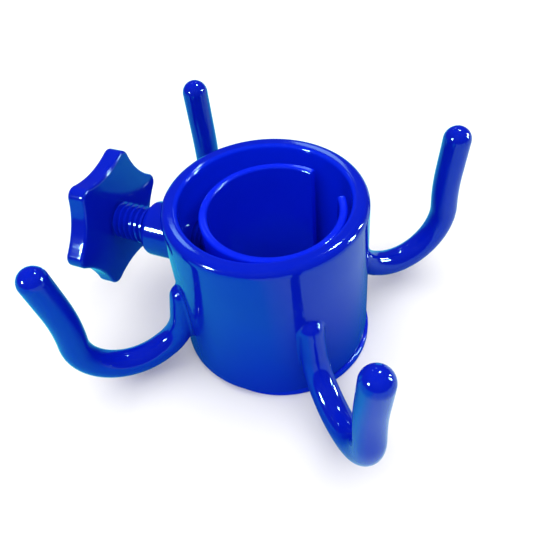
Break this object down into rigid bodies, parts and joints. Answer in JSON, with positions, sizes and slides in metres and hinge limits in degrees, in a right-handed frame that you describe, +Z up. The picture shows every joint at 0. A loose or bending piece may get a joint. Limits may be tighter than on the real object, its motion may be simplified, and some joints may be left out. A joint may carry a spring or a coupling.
{
  "type": "umbrella pole hanging hook",
  "caption": "Clamp-on hanging hook for an umbrella pole: round collar with upturned hooks, split inner sleeve and a thumbscrew with a star knob.",
  "frame": {"origin": "on the pole's axis, which is the axis of the split sleeve's bore, at the bottom face of the sleeve's flange", "axes": "+Z up along the pole, -X towards the thumbscrew and its knob, the hooks on the diagonals"},
  "size_m": [0.111, 0.1029, 0.0604],
  "materials": {
    "collar_plastic": "gloss royal blue moulded plastic",
    "sleeve_plastic": "gloss royal blue moulded plastic",
    "screw_plastic": "gloss royal blue moulded plastic"
  },
  "bodies": {
    "hook_collar": {"collar": "collar_plastic", "hook_back_right": "collar_plastic", "hook_back_left": "collar_plastic", "hook_front_left": "collar_plastic", "hook_front_right": "collar_plastic", "screw_boss": "collar_plastic"},
    "sleeve": {"split_sleeve": "sleeve_plastic", "sleeve_flange": "sleeve_plastic"},
    "screw_carrier": {"screw_tip": "screw_plastic"},
    "thumbscrew": {"clamp_screw": "screw_plastic", "star_knob": "screw_plastic"}
  },
  "joints": [
    {"name": "sleeve_slide", "type": "slide", "parent": "hook_collar", "child": "sleeve", "axis": [0, 0, -1], "range_m": [0, 0.06]},
    {"name": "screw_advance", "type": "slide", "parent": "hook_collar", "child": "screw_carrier", "axis": [-1, 0, 0], "range_m": [0, 0.0161]},
    {"name": "knob_turn", "type": "hinge", "parent": "screw_carrier", "child": "thumbscrew", "pos_m": [-0.0569, 0, 0.034], "axis": [-1, 0, 0], "range_deg": [0, 2880]}
  ],
  "couplings": [
    {"joint": "screw_advance", "follows": "knob_turn", "m_per_rad": 0.00031831}
  ]
}
